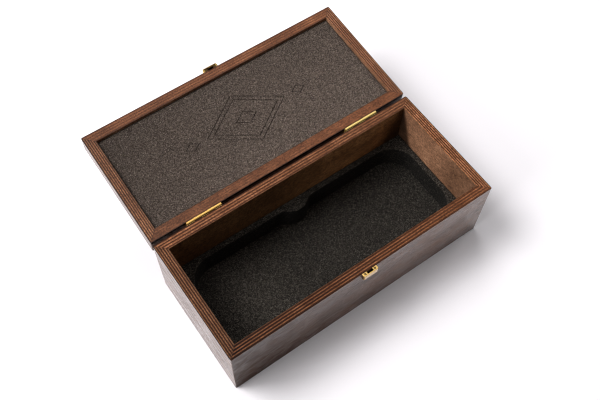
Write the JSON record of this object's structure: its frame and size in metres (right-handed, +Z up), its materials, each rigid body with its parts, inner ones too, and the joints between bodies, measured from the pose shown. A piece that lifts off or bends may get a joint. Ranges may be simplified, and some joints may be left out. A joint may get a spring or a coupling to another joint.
{
  "type": "microphone case",
  "caption": "Long hinged wooden case with mitred plywood walls, a shallow foam-lined lid, a foam bed with a waisted recess, brass hinges and a sprung brass front catch.",
  "frame": {"origin": "centre of the base's underside", "axes": "+Z up, the catch on the -Y side, the hinges on the +Y side, the case's length along X; the lid is stored open, turned back behind the base"},
  "size_m": [0.332, 0.3075, 0.108],
  "materials": {
    "plywood": "satin",
    "panel_plywood": "satin",
    "base_foam": "matte",
    "lid_foam": "matte",
    "brass": "polished",
    "brass_screws": "satin",
    "steel": "satin"
  },
  "bodies": {
    "base": {"base_front_wall": "plywood", "base_back_wall": "plywood", "base_left_wall": "plywood", "base_right_wall": "plywood", "base_bottom_panel": "panel_plywood", "base_foam_sheet": "base_foam", "base_foam_insert": "base_foam", "left_hinge_base_leaf": "brass", "right_hinge_base_leaf": "brass", "left_hinge_pin": "brass", "right_hinge_pin": "brass", "hinge_base_screws": "brass_screws", "catch_keeper": "brass", "keeper_discs": "steel", "keeper_screws": "brass_screws"},
    "lid": {"lid_front_wall": "plywood", "lid_back_wall": "plywood", "lid_left_wall": "plywood", "lid_right_wall": "plywood", "lid_top_panel": "panel_plywood", "lid_foam_pad": "lid_foam", "left_hinge_lid_leaf": "brass", "right_hinge_lid_leaf": "brass", "hinge_lid_screws": "brass_screws", "catch_housing": "brass", "housing_discs": "steel", "housing_screws": "brass_screws", "catch_pivot_pin": "steel"},
    "tongue": {"catch_tongue": "brass"}
  },
  "joints": [
    {"name": "lid_hinge", "type": "hinge", "parent": "base", "child": "lid", "pos_m": [0, 0.0755, 0.0936], "axis": [1, 0, 0], "range_deg": [0, 175.7]},
    {"name": "tongue_pivot", "type": "hinge", "parent": "lid", "child": "tongue", "pos_m": [0, 0.22615, 0.10062], "axis": [-1, 0, 0], "range_deg": [0, 6], "stiffness_Nm_per_rad": 0.02, "springref_deg": -5.73}
  ]
}
